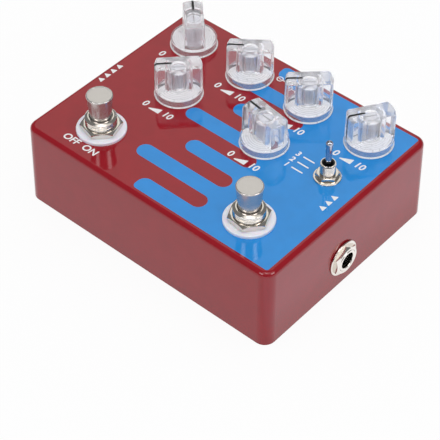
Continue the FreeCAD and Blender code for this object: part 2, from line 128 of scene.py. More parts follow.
class PedalColours(PropertyGroup):
    """Linear colours of the pedal's finishes."""

    paint: colour("Box paint", "Gloss enamel on the box and its base plate", 0.30, 0.006, 0.014)
    field: colour("Printed field", "Blue field printed on the lid", 0.016, 0.255, 0.67)
    marks: colour("Printed marks", "White dial marks on the lid", 0.86, 0.86, 0.86)
    acrylic: colour("Knobs", "Clear acrylic of the knobs", 0.965, 0.965, 0.995)
    frost: colour("Frosted faces", "Rough faces of the knobs' plastic", 0.93, 0.93, 0.94)
    ink: colour("Pointer ink", "Black line on each knob", 0.008, 0.008, 0.009)
    shaft: colour("Pot shafts", "Grey metal of the shafts inside the knobs", 0.56, 0.565, 0.60)
    pot: colour("Pots", "Sealed black cases of the pots", 0.03, 0.03, 0.035)
    milky: colour("Light rings", "Milky plastic of the rings under the stomp switches",
                  0.91, 0.88, 0.965)
    nickel: colour("Nickel", "Plated nuts, washers, bushes and jack sleeves", 0.76, 0.72, 0.66)
    cap: colour("Stomp caps", "Satin plating of the stomp caps", 0.60, 0.575, 0.555)
    # The lever's steel is partly its own grey and partly a painted reflection of the blue field
    # round it
    steel: colour("Lever", "Bright steel of the lever", 0.46, 0.50, 0.58)
    plastic: colour("Black plastic", "Jack bodies, power socket and chips", 0.012, 0.012, 0.013)
    moulding: colour("Switch bases", "Red moulded bases of the stomp switches", 0.36, 0.03, 0.02)
    tin: colour("Tinned metal", "Lugs, pins and contacts", 0.62, 0.62, 0.60)
    mask: colour("Board", "Green solder mask on the board", 0.010, 0.105, 0.045)
    film: colour("Capacitors", "Dipped film capacitors", 0.55, 0.06, 0.02)
    lead: colour("Leads", "Grey sleeving of the flat leads", 0.30, 0.31, 0.33)


class PedalKnobSizes(PropertyGroup):
    """Sizes of the six pointer knobs."""

    edge: length("Edge", "Rounding of the skirt's top edge", 0.35)
    lip: length("Lip", "How far the rough lip at the skirt's foot stands out", 0.42)
    lip_height: length("Lip height", "Height of the rough lip at the skirt's foot", 0.62)
    gap: length("Gap", "Between the lid and the skirt", 0.12)
    rim_height: length("Rim height", "Height of the skirt's upright rim", 3.6)
    shoulder_height: length("Shoulder height", "Height of the skirt where it meets the bar", 5.5)
    shoulder_radius: length("Shoulder radius", "Radius at the top of the sloping skirt", 4.0)
    bar_foot_width: length("Bar foot width", "Width of the pointer bar at its foot", 8.3)
    bar_top_width: length("Bar top width", "Width of the pointer bar at its top", 7.7)
    bar_foot_radius: length("Bar foot radius", "Radius of the bar's ends at the foot", 9.2)
    bar_top_radius: length("Bar top radius", "Radius of the bar's ends at the top", 9.05)
    bar_edge: length("Bar edge", "Rounding of the bar's long top edges", 0.5)
    bar_end_edge: length("Bar end edge", "Rounding of the bar's top at its two ends", 1.2)
    bar_corner: length("Bar corner", "Rounding of the bar's upright corners", 0.35)
    wall: length("Wall", "Wall between the bar's flanks and its hollows", 1.15)
    end_wall: length("End wall", "Wall between the bar's ends and its hollows", 3.8)
    slab: length("Top slab", "Thickness over the hollows in the bar", 1.6)
    hub_radius: length("Hub radius", "Radius of the hub round the shaft", 3.9)
    recess_radius: length("Recess radius", "Radius of the recess under the skirt", 8.15)
    recess_height: length("Recess height", "Height of the recess under the skirt", 2.5)
    ridge_pitch: length("Ridge pitch", "Between the turning marks on the recess's ceiling", 0.9)
    ridge_depth: length("Ridge depth", "Depth of the turning marks on the recess's ceiling", 0.17)
    bore_radius: length("Bore radius", "Radius of the shaft's hole", 3.05)
    bore_tip: length("Bore tip", "Height of the cone that ends the shaft's hole", 1.7)
    pointer_start: length("Pointer start", "Where the line begins, from the knob's axis", 2.4)
    pointer_width: length("Pointer width", "Width of the line", 0.85)
    bush_radius: length("Bush radius", "Radius of the pots' bushes above the lid", 3.36)
    bush_height: length("Bush height", "Height of the pots' bushes above the lid", 1.3)
    spline_depth: length("Spline depth", "Depth of the grooves in the shaft", 0.22)
    spline_length: length("Spline length", "Length of the grooved end of the shaft", 7.0)
    slit: length("Slit", "Width of the slit across the shaft's end", 0.7)


class PedalSwitchSizes(PropertyGroup):
    """Sizes of the two stomp switches."""

    ring_edge: length("Ring edge", "Rounding of the light ring's top edge", 0.45)
    nut_chamfer: length("Nut chamfer", "Drop of the nut's chamfered corners", 0.55)
    collar_drop: length("Collar drop", "Drop of the bush's sloping top", 0.75)
    collar_radius: length("Collar radius", "Radius at the top of the bush's slope", 5.0)
    mouth_radius: length("Mouth radius", "Radius of the bush's mouth", 4.42)
    thread_pitch: length("Thread pitch", "Distance between the bush's thread crests", 0.75)
    thread_depth: length("Thread depth", "Depth of the bush's thread", 0.14)
    cap_edge: length("Cap edge", "Rounding of the cap's top edge", 0.45)
    case_edge: length("Frame edge", "Rounding of the switch frame's edges", 0.5)


class PedalLeverSizes(PropertyGroup):
    """Sizes of the lever switch."""

    foot_radius: length("Bat foot radius", "Radius of the bat just above the bush", 1.12)
    tip_radius: length("Bat tip radius", "Radius of the bat's round tip", 1.35)
    washer_radius: length("Washer radius", "Radius of the washer under the nut", 5.25)
    washer_thickness: length("Washer thickness", "Thickness of the washer under the nut", 0.6)
    nut_chamfer: length("Nut chamfer", "Drop of the nut's chamfered corners", 0.5)
    thread_pitch: length("Thread pitch", "Distance between the bush's thread crests", 0.65)
    thread_depth: length("Thread depth", "Depth of the bush's thread", 0.12)
    case_edge: length("Case edge", "Rounding of the case's edges", 0.35)


class PedalJackSizes(PropertyGroup):
    """Sizes of the jacks, the power socket and the base plate."""

    washer_radius: length("Washer radius", "Radius of the washer on the wall", 7.3)
    washer_thickness: length("Washer thickness", "Thickness of the washer", 0.7)
    nut_chamfer: length("Nut chamfer", "Drop of the nut's rounded corners", 0.8)
    lip: length("Lip", "Rounding of the sleeve's mouth", 0.5)
    pin_radius: length("Pin radius", "Radius of the power socket's pin", 1.05)
    pin_set_back: length("Pin set back", "How far the pin stays behind the socket's face", 1.2)
    screw_radius: length("Screw radius", "Radius of the base screws' heads", 2.85)
    screw_margin: length("Screw margin", "From the box's outer face to a base screw", 5.7)
    screw_depth: length("Screw depth", "Depth of a screw head's cone", 1.3)


class PedalPrintSizes(PropertyGroup):
    """Sizes of the print on the lid."""

    margin: length("Margin", "Bare paint between the field and the lid's rounded edge", 0.6)
    corner: length("Corner", "Rounding of the field's outer corners", 1.0)
    ink: length("Ink", "Thickness of the printed field", 0.02)
    bars: IntProperty(name="Bars", description="Bars of paint and of print across the lid",
                      default=13, min=1)
    long_end: length("Long bar end", "Where the longer printed bars end, from the middle", -19.0)
    short_end: length("Short bar end", "Where the shorter printed bars end, from the middle", -7.0)
    paint_end: length("Paint bar end", "Where the bars of bare paint end, from the middle", 19.5)
    letter: length("Figure height", "Height of the figures beside the knobs", 3.1)
    small_letter: length("Small figure height", "Height of the lever's figures", 2.5)
    stroke: length("Stroke", "How much bolder the figures are than the plain face", 0.10)
    below: length("Drop below knob", "From a knob's axis down to its figures", 12.6)


class PedalStageSettings(PropertyGroup):
    """The camera and the light of the product picture."""

    azimuth: angle("Azimuth", "Camera's turn to the right of straight in front", 40.92)
    elevation: angle("Elevation", "Camera's height above the horizon", 45.448)
    roll: angle("Roll", "Camera's roll about its line of sight", 0.193)
    distance: length("Distance", "From the camera to the point it looks at", 598.7)
    target: FloatVectorProperty(
        name="Target", description="Point that the camera looks at", size=3, unit="LENGTH",
        default=(14.85 * MM, -20.394 * MM, 15.0 * MM),
    )
    lens: FloatProperty(
        name="Lens", description="Focal length on a 36 mm sensor", default=132.46, unit="CAMERA"
    )
    floor: length("Floor", "Side of the square floor", 9000.0)
    ambient: factor("Ambient", "Strength of the even light from all round", 0.62)
    key: FloatProperty(name="Key light", description="Power of the overhead light", default=7.4,
                       min=0.0, unit="POWER")
    panel: factor("Back panel", "Strength of the soft panel behind, for gloss to reflect", 0.79)
    front: factor("Front panel", "Strength of the soft panel in front, for gloss to reflect", 1.0)
    side: factor("Side panel", "Strength of the soft panel at the right, for gloss to reflect", 0.6)
    spark: factor("Small lamps", "Strength of three small lamps, for gloss to reflect", 4.4)
    dim: factor("Dim room", "Strength of the rest of the room, for gloss to reflect", 0.20)
    # Painted light: how much brighter than white gloss sees the floor at the box's right
    right: factor("Right floor", "Strength of the floor at the right, for gloss to reflect", 1.2)
    glow: factor("Floor glow", "Share of the floor's white that needs no light", 0.92)


def settings(name):
    return getattr(bpy.context.scene, "pedal_" + name)


# Outlines


def around(steps):
    return [2 * math.pi * k / steps for k in range(steps)]


def polar(radius, turn):
    return radius * math.cos(turn), radius * math.sin(turn)


def rounded(corners, steps=5):
    """A closed outline through (x, y) or (x, y, radius) corners, each rounded by its radius."""
    outline = []
    for i, (x, y, *radius) in enumerate(corners):
        here = Vector((x, y))
        if not any(radius):
            outline.append(here)
            continue
        radius = radius[0]
        before = (Vector(corners[i - 1][:2]) - here).normalized()
        after = (Vector(corners[(i + 1) % len(corners)][:2]) - here).normalized()
        half = before.angle(after) / 2
        centre = here + (before + after).normalized() * radius / math.sin(half)
        run = radius / math.tan(half)
        start = here + before * run - centre
        end = here + after * run - centre
        turn = math.atan2(start.x * end.y - start.y * end.x, start.dot(end))
        for k in range(steps + 1):
            outline.append(centre + Matrix.Rotation(turn * k / steps, 2) @ start)
    return outline


def rectangle(width, depth, corner=0.0, centre=(0.0, 0.0)):
    x, y = width / 2, depth / 2
    return rounded([(centre[0] + sx * x, centre[1] + sy * y, corner)
                    for sx, sy in ((-1, -1), (1, -1), (1, 1), (-1, 1))])


def at_height(outline, height):
    return [(*point, height) for point in outline]


def cylinder(radius, low, high):
    return [(0, low), (radius, low), (radius, high), (0, high)]


def tube(inner, outer, low, high, foot=0.0, top=0.0):
    """A tube's outline, its outer edges rounded by foot and top."""
    return [(inner, low), (outer, low, foot), (outer, high, top), (inner, high)]


def thread(low, high, radius, pitch, depth):
    """The (radius, height) points of a thread's crests and roots from low to high."""
    turns = max(1, round((high - low) / pitch))
    rise = (high - low) / turns
    points = []
    for k in range(turns):
        start = low + k * rise
        points += [(radius, start + 0.25 * rise), (radius - depth, start + 0.75 * rise)]
    return points


# Solids


def at(x, y, z=0.0):
    return Matrix.Translation((x, y, z))


def spin(turn, axis="Z"):
    return Matrix.Rotation(turn, 4, axis)


def over(node):
    """From the upright axis to the axis of a node."""
    return at(*middle_of(node).xy)


def lofted(levels, place=Matrix(), closed=False):
    """A solid through levels, each a ring of points in space or a single point.

    The last level joins the first if closed. If not, both are capped.
    """
    bm = bmesh.new()
    rings = [[bm.verts.new(place @ Vector(p)) for p in level] for level in levels]
    for lower, upper in zip(rings, rings[1:] + (rings[:1] if closed else [])):
        for k in range(max(len(lower), len(upper))):
            corners = [lower[k % len(lower)], lower[(k + 1) % len(lower)],
                       upper[(k + 1) % len(upper)], upper[k % len(upper)]]
            corners = list(dict.fromkeys(corners))
            if len(corners) > 2:
                bm.faces.new(corners)
    if not closed:
        bm.faces.new(rings[0][::-1])
        bm.faces.new(rings[-1])
    return bm


def turned(corners, steps=ROUND_STEPS, place=Matrix(), soft_steps=3):
    """Turns an outline of (radius, height) or (radius, height, rounding) corners upright."""
    if any(len(corner) > 2 for corner in corners):
        corners = rounded(corners, soft_steps)
    return lofted([
        [(*polar(radius, a), height) for a in (around(steps) if radius >= ON_AXIS else [0.0])]
        for radius, height in corners
    ], place, closed=True)


def upright(outline, low, high):
    """A straight solid over a flat outline, from height low to high."""
    return lofted([at_height(outline, low), at_height(outline, high)])


def block(low, high, edge):
    """A box whose upright corners are rounded by edge and whose level edges are chamfered."""
    middle, size = (low + high) / 2, high - low
    small = edge * 0.4
    levels = [(low.z, small), (low.z + small, 0), (high.z - small, 0), (high.z, small)]
    return lofted([
        at_height(rectangle(size.x - 2 * inset, size.y - 2 * inset, edge, middle.xy), z)
        for z, inset in levels
    ])


def swept(path, radius, across, steps=10):
    """A round wire along a path that stays square to the direction across."""
    levels = []
    for i, point in enumerate(path):
        ahead = (path[min(i + 1, len(path) - 1)] - path[max(i - 1, 0)]).normalized()
        side = across.cross(ahead)
        levels.append([point + radius * (math.cos(a) * across + math.sin(a) * side)
                       for a in around(steps)])
    return lofted(levels)


def hexagon_nut(flats, low, high, bore, chamfer, turn=0.0, both=True):
    """A nut whose corners are taken off by a cone at the top, and at the foot too if both."""
    cone_share, plain_share = 0.96, 0.99
    inner = flats / 2 * cone_share
    corner = flats / math.sqrt(3)
    profiles = []
    for a in around(NUT_STEPS):
        reach = flats / 2 / math.cos(a % (math.pi / 3) - math.pi / 6)
        drop = chamfer * (reach - inner) / (corner - inner)
        foot_drop, foot_inner = (drop, inner) if both else (0.0, reach * plain_share)
        profiles.append([(*polar(radius, a + turn), height) for radius, height in (
            (bore, low), (bore, high), (inner, high), (reach, high - drop),
            (reach, low + foot_drop), (foot_inner, low))])
    return lofted(zip(*profiles), closed=True)


def in_scene(name, data):
    made = bpy.data.objects.new(name, data)
    bpy.context.scene.collection.objects.link(made)
    return made


def mesh_of(name, bm):
    mesh = bpy.data.meshes.new(name)
    bm.to_mesh(mesh)
    bm.free()
    return mesh


def evaluated(made):
    """The solid that an object of the scene shows."""
    graph = bpy.context.evaluated_depsgraph_get()
    mesh = bpy.data.meshes.new_from_object(made.evaluated_get(graph))
    if not mesh.polygons:
        raise RuntimeError("a solid came out empty")
    solid = bmesh.new()
    solid.from_mesh(mesh)
    bpy.data.meshes.remove(mesh)
    return solid


def combined(solid, tool, operation="DIFFERENCE"):
    """The solid cut by the tool, or joined with it by the operation UNION."""
    made = []
    for part in (solid, tool):
        bmesh.ops.recalc_face_normals(part, faces=part.faces[:])
        made.append(in_scene("solid", mesh_of("solid", part)))
    step = made[0].modifiers.new("combine", "BOOLEAN")
    step.object = made[1]
    step.operation = operation
    step.solver = "EXACT"
    result = evaluated(made[0])
    for old in made:
        bpy.data.meshes.remove(old.data)
    return result


def copies(solid, places):
    """The solid at each of the places."""
    made = []
    for place in places:
        copy = solid.copy()
        copy.transform(place)
        made.append(copy)
    solid.free()
    return made


def gathered(solids):
    """The solids side by side as one."""
    group = bmesh.new()
    for solid in solids:
        mesh = mesh_of("part", solid)
        group.from_mesh(mesh)
        bpy.data.meshes.remove(mesh)
    return group


# Pieces


def piece(name, solid, look, *replaced, body=None):
    """Makes a solid a piece with a finish.

    It rides on the body, or with the nodes that it replaces, or on the housing.
    """
    bmesh.ops.remove_doubles(solid, verts=solid.verts[:], dist=WELD)
    bmesh.ops.recalc_face_normals(solid, faces=solid.faces[:])
    for face in solid.faces:
        face.smooth = True
    for edge in solid.edges:
        edge.smooth = edge.calc_face_angle(0.0) < SHARP_ANGLE
    made = in_scene(name, mesh_of(name, solid))
    made.data.materials.append(finish(look))
    # Flat faces stay flat beside their rounded edges
    shading = made.modifiers.new("even_shading", "WEIGHTED_NORMAL")
    shading.keep_sharp = True
    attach(made, body or (body_of(replaced[0]) if replaced else "housing"))
    if replaced:
        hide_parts(*replaced)
    return made


def refinish(look, *nodes):
    """Gives nodes of the frame a finish."""
    for node in nodes:
        target = frame["nodes"][node]
        target.data.materials.clear()
        target.data.materials.append(finish(look))


def body_of(node):
    return frame["nodes"][node]["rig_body"]


# Finishes

# Each finish's slot, colour, roughness, grains a metre, relief and other values
FINISHES = {
    "box_enamel": ("plate_paint", "paint", 0.06, 160, 3e-6, dict(depth=0.05, IOR=1.5)),
    "field_ink": (None, "field", 0.06, 160, 3e-6, dict(depth=0.04, IOR=1.5)),
    "mark_ink": (None, "marks", 0.25, 900, 2e-6, dict(depth=0.03)),
    "clear_acrylic": ("clear_knob", "acrylic", 0.02, 240, 4e-6, dict(
        depth=0.01, Transmission_Weight=0.87, IOR=1.47, Sheen_Weight=0.6, Sheen_Roughness=0.3)),
    "frosted_acrylic": (None, "frost", 0.3, 900, 4e-6, dict(
        depth=0.03, Transmission_Weight=0.28, IOR=1.47)),
    "pointer_ink": (None, "ink", 0.35, 900, 1e-6, dict(depth=0.2, Specular_IOR_Level=0.2)),
    "shaft_metal": ("pot_shaft", "shaft", 0.36, 700, 2e-6, dict(stretch=(1, 1, 0.1), Metallic=0.6)),
    "milky_plastic": ("milky", "milky", 0.25, 220, 1e-6, dict(
        depth=0.01, IOR=1.5, Transmission_Weight=0.05, Subsurface_Weight=0.25,
        Subsurface_Scale=0.002)),
    "nickel_plate": ("nickel", "nickel", 0.13, 1500, 1.5e-6, dict(
        depth=0.05, stretch=(1, 1, 4), Metallic=1.0)),
    "cap_plate": ("chrome_cap", "cap", 0.22, 500, 5e-8, dict(
        depth=0.02, spread=0.1, stretch=(1, 1, 3), Metallic=0.8)),
    # Its blue tint is a painted reflection of the blue field; the rest is the steel's own grey
    "lever_steel": ("chrome_cap", "steel", 0.08, 900, 1e-6, dict(
        depth=0.04, stretch=(1, 1, 3), Metallic=1.0)),
    "black_plastic": ("black_plastic", "plastic", 0.42, 1800, 4e-6, dict(depth=0.2)),
    "pot_plastic": (None, "pot", 0.5, 1400, 4e-6, dict(depth=0.15)),
    "switch_moulding": (None, "moulding", 0.38, 1200, 3e-6, dict(depth=0.1)),
    "tinned_metal": (None, "tin", 0.3, 1600, 2e-6, dict(depth=0.1, Metallic=1.0)),
    "dipped_film": (None, "film", 0.25, 600, 6e-6, dict(depth=0.1, Coat_Weight=0.4)),
    "lead_sleeving": ("lead", "lead", 0.45, 1500, 2e-6, dict(depth=0.1)),
    "solder_mask": (None, "mask", 0.28, 900, 2e-6, dict(depth=0.08)),
}


def feed(tree, node, inputs):
    """Sets each input of a shader node, or links it if it is given another node's output."""
    for socket, value in inputs.items():
        if isinstance(value, NodeSocket):
            tree.links.new(value, node.inputs[socket])
        else:
            node.inputs[socket].default_value = value


def added(tree, kind, inputs, **options):
    """A new shader node's outputs."""
    node = tree.nodes.new("ShaderNode" + kind)
    for option, value in options.items():
        setattr(node, option, value)
    feed(tree, node, inputs)
    return node.outputs


def ramp(tree, source, interpolation, *ends):
    """The colour of a ramp between two (position, colour) ends."""
    node = tree.nodes.new("ShaderNodeValToRGB")
    node.color_ramp.interpolation = interpolation
    for element, (position, tint) in zip(node.color_ramp.elements, ends):
        element.position = position
        element.color = tint
    tree.links.new(source, node.inputs["Fac"])
    return node.outputs["Color"]


def shade(tint, share):
    return (*[min(1.0, c * share) for c in tint[:3]], 1.0)


def finish(name):
    """The named finish, which is made when it is first asked for."""
    if name in bpy.data.materials:
        return bpy.data.materials[name]
    material = bpy.data.materials.new(name)
    material.use_nodes = True
    _, tint, roughness, grain, relief, more = FINISHES[name]
    tint = getattr(settings("colours"), tint)
    grained(material.node_tree, tint, roughness, grain, relief, **more)
    if name == "clear_acrylic":
        let_lamps_in(material.node_tree)
    if name == "solder_mask":
        show_copper(material.node_tree, tint)
    return material


def grained(tree, tint, roughness, grain, relief, depth=0.08, spread=0.35, stretch=(1, 1, 1),
            **sockets):
    """Tint, roughness and relief that follow a grain.

    depth is how far the tint varies, spread how far the roughness varies, and stretch how much
    finer the grain is along each axis.
    """
    place = added(tree, "TexCoord", {})["Object"]
    scaled = added(tree, "Mapping", {"Vector": place, "Scale": [grain * s for s in stretch]})
    noise = added(tree, "TexNoise", {"Vector": scaled["Vector"], "Scale": 1.0, "Detail": 3.0})
    noise = noise["Fac"]
    colours = ramp(tree, noise, "LINEAR", (0.3, shade(tint, 1 - depth)),
                   (0.7, shade(tint, 1 + depth)))
    rough = added(tree, "MapRange", {"Value": noise, "To Min": roughness * (1 - spread),
                                     "To Max": roughness * (1 + spread)})
    bump = added(tree, "Bump", {"Height": noise, "Strength": 1.0, "Distance": relief})
    feed(tree, tree.nodes["Principled BSDF"], {
        "Base Color": colours, "Roughness": rough["Result"], "Normal": bump["Normal"],
        **{socket.replace("_", " "): value for socket, value in sockets.items()},
    })


def let_lamps_in(tree):
    """Makes clear plastic cast no shadow on what is inside it."""
    mix = added(tree, "MixShader", {
        "Fac": added(tree, "LightPath", {})["Is Shadow Ray"],
        1: tree.nodes["Principled BSDF"].outputs["BSDF"],
        2: added(tree, "BsdfTransparent", {})["BSDF"],
    })
    feed(tree, tree.nodes["Material Output"], {"Surface": mix["Shader"]})


def show_copper(tree, mask):
    """Shows the paler ways of copper under a board's mask."""
    ways = added(tree, "TexBrick", {
        "Vector": added(tree, "TexCoord", {})["Object"], "Scale": 160.0, "Mortar Size": 0.06,
        "Color1": mask, "Color2": shade(mask, 0.8), "Mortar": shade(mask, 2.2),
    })
    feed(tree, tree.nodes["Principled BSDF"], {"Base Color": ways["Color"]})


# The box and its print


class PEDAL_OT_box(Operator):
    """Paints the box, and builds the base plate with its countersunk screws"""

    bl_idname = "pedal.box"
    bl_label = "Box and base plate"

    def execute(self, context):
        sizes = settings("jacks")
        refinish("box_enamel", "enclosure")
        low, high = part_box("base_plate")
        edge, clearance, lead_in = 0.5 * MM, 0.08 * MM, 0.2 * MM
        plate = block(low, high, edge)
        x, y = BOX_HIGH.x - sizes.screw_margin, BOX_HIGH.y - sizes.screw_margin
        places = [at(sx * x, sy * y) for sx in (-1, 1) for sy in (-1, 1)]
        head = sizes.screw_radius + clearance
        shank = head - sizes.screw_depth
        for place in places:
            plate = combined(plate, turned([
                (0, low.z - MM), (head, low.z - MM), (head, low.z + lead_in),
                (shank, low.z + sizes.screw_depth), (shank, high.z + MM), (0, high.z + MM),
            ], SMALL_STEPS, place))
        piece("base_panel", plate, "box_enamel", "base_plate")
        first_turn, further_turn, sunk = 0.4, 0.7, 0.1 * MM
        places = [place @ spin(first_turn + further_turn * i) for i, place in enumerate(places)]
        screws = gathered(copies(screw(sizes, low.z + sunk), places))
        piece("base_screws", screws, "nickel_plate")
        return {"FINISHED"}


def screw(sizes, face):
    """A countersunk screw with a cross recess, its head down at height face."""
    radius, shank = sizes.screw_radius, sizes.screw_radius - sizes.screw_depth
    end = face + 5 * MM
    solid = turned([(0, face), (radius, face, 0.1 * MM), (radius, face + 0.15 * MM),
                    (shank, face + sizes.screw_depth), (shank, end, 0.3 * MM), (0, end)],
                   SMALL_STEPS)
    slot_length, slot_width, slot_depth = 3.4 * MM, 0.68 * MM, 1.1 * MM
    for width, depth in ((slot_length, slot_width), (slot_width, slot_length)):
        tool = lofted([at_height(rectangle(width * share, depth * share), z)
                       for share, z in ((1.15, face - 0.2 * MM), (0.55, face + slot_depth))])
        solid = combined(solid, tool)
    return solid


class PEDAL_OT_field(Operator):
    """Prints the blue field, whose left edge is a comb of round-ended bars"""

    bl_idname = "pedal.field"
    bl_label = "Printed field"

    def execute(self, context):
        sizes = settings("print")
        edge = BOX_HIGH.x - LID_EDGE - sizes.margin
        back = BOX_HIGH.y - LID_EDGE - sizes.margin
        pitch = 2 * back / sizes.bars
        corners = [(edge, -back, sizes.corner), (edge, back, sizes.corner)]
        for k in reversed(range(sizes.bars)):
            end = sizes.long_end if k % 4 else sizes.short_end
            if k % 2:
                end = sizes.paint_end
            for side, last in ((k + 1, k + 1 == sizes.bars), (k, k == 0)):
                soft = 2 * sizes.corner if last else 0.49 * pitch
                corners.append((end, -back + side * pitch, soft))
        sunk = 0.02 * MM
        field = upright(rounded(corners, 8), LID - sunk, LID + sizes.ink)
        holes = {knob + "_knob": 3.5 * MM for knob in KNOBS}
        holes |= {"drive_switch_button": 6.3 * MM, "lever_nut": 3.3 * MM}
        for node, radius in holes.items():
            hole = turned(cylinder(radius, LID - MM, LID + MM), SMALL_STEPS, over(node))
            field = combined(field, hole)
        piece("printed_field", field, "field_ink")
        return {"FINISHED"}


class PEDAL_OT_marks(Operator):
    """Prints the white figures, wedges and arrowheads"""

    bl_idname = "pedal.marks"
    bl_label = "Printed marks"

    def execute(self, context):
        sizes = settings("print")
        letter = sizes.letter
        to_zero, to_ten, wedge_left, wedge_right = 5.6 * MM, 5.4 * MM, 2.9 * MM, 2.0 * MM
        marks = []
        for knob in KNOBS:
            x, y = middle_of(knob + "_knob").xy
            y -= sizes.below
            marks += [figure("0", letter, x - to_zero, y), figure("10", letter, x + to_ten, y),
                      wedge(x - wedge_left, x + wedge_right, y - letter / 2, letter * 0.95)]
        marks += lever_marks(sizes.small_letter)
        to_off, to_on, switch_drop = 4.6 * MM, 4.7 * MM, 11.3 * MM
        x, y = middle_of("delay_switch_button").xy
        y -= switch_drop
        marks += [figure("OFF", letter, x - to_off, y), figure("ON", letter, x + to_on, y)]
        marks += arrowheads(-56.0 * MM, -3.8 * MM, 4) + arrowheads(51.6 * MM, -4.2 * MM, 3)
        piece("printed_marks", gathered(marks + power_mark()), "mark_ink")
        return {"FINISHED"}


def ink_levels():
    return LID, LID + 2 * settings("print").ink


def inked(outline):
    return upright(outline, *ink_levels())


def figure(text, height, x, y):
    """A figure or word of the given height centred on x and y."""
    low, high = ink_levels()
    cap_height = 0.73
    curve = bpy.data.curves.new("figure", "FONT")
    curve.body = text
    curve.size = height / cap_height
    curve.shear = 0.12
    curve.offset = settings("print").stroke
    curve.align_x = curve.align_y = "CENTER"
    curve.extrude = (high - low) / 2
    solid = evaluated(in_scene("figure", curve))
    bpy.data.curves.remove(curve)
    solid.transform(at(x, y, (low + high) / 2))
    return solid


def wedge(left, right, foot, tall):
    """A mark that grows from left to right."""
    return inked(rounded([(left, foot + 0.1 * MM), (right, foot + 0.1 * MM, 0.2 * MM),
                          (right, foot + tall, 0.2 * MM), (left, foot + 0.55 * MM)]))


def bar(x, y, width, depth):
    return inked(rectangle(width, depth, min(width, depth) * 0.4, (x, y)))


def lever_marks(letter):
    """Figures for the lever's three places, each with a short line towards it."""
    x, middle = middle_of("lever_nut").xy
    away, pitch = 15.5 * MM, 3.5 * MM
    to_line, line_length, line_width = 5.0 * MM, 5.2 * MM, 0.6 * MM
    x -= away
    marks = []
    for k in range(3):
        y = middle + (1 - k) * pitch - MM
        marks += [figure(str(3 - k), letter, x, y), bar(x + to_line, y, line_length, line_width)]
    return marks


def arrowheads(x, middle, number):
    """A row of arrowheads that point the signal's way, to the left."""
    pitch, half, tail = 3.4 * MM, 1.3 * MM, x + 1.2 * MM
    rows = [middle + (k - (number - 1) / 2) * pitch for k in range(number)]
    return [inked(rounded([(x - half, y, 0.15 * MM), (tail, y - half, 0.2 * MM),
                           (tail, y + half, 0.2 * MM)])) for y in rows]


def power_mark():
    """The usual sign for a socket whose pin is negative."""
    y, pitch, line = 36.6 * MM, 4.2 * MM, 0.35 * MM
    inner, outer, dot, joining, sign = 1.0 * MM, 1.4 * MM, 0.45 * MM, 1.5 * MM, 1.4 * MM
    marks = []
    for x in (-pitch, 0.0, pitch):
        marks.append(turned(tube(inner, outer, *ink_levels()), 40, at(x, y)))
        if x:
            marks += [bar(x / 2, y, joining, line), bar(x, y, sign, line)]
    marks.append(bar(pitch, y, line, sign))
    return marks + [turned(cylinder(dot, *ink_levels()), 24, at(0, y))]


# The knobs


def rounding(height, top, radius):
    """How far in a rounded edge is at a height near the top."""
    into = max(0.0, height - (top - radius))
    return radius - math.sqrt(max(0.0, radius * radius - into * into))


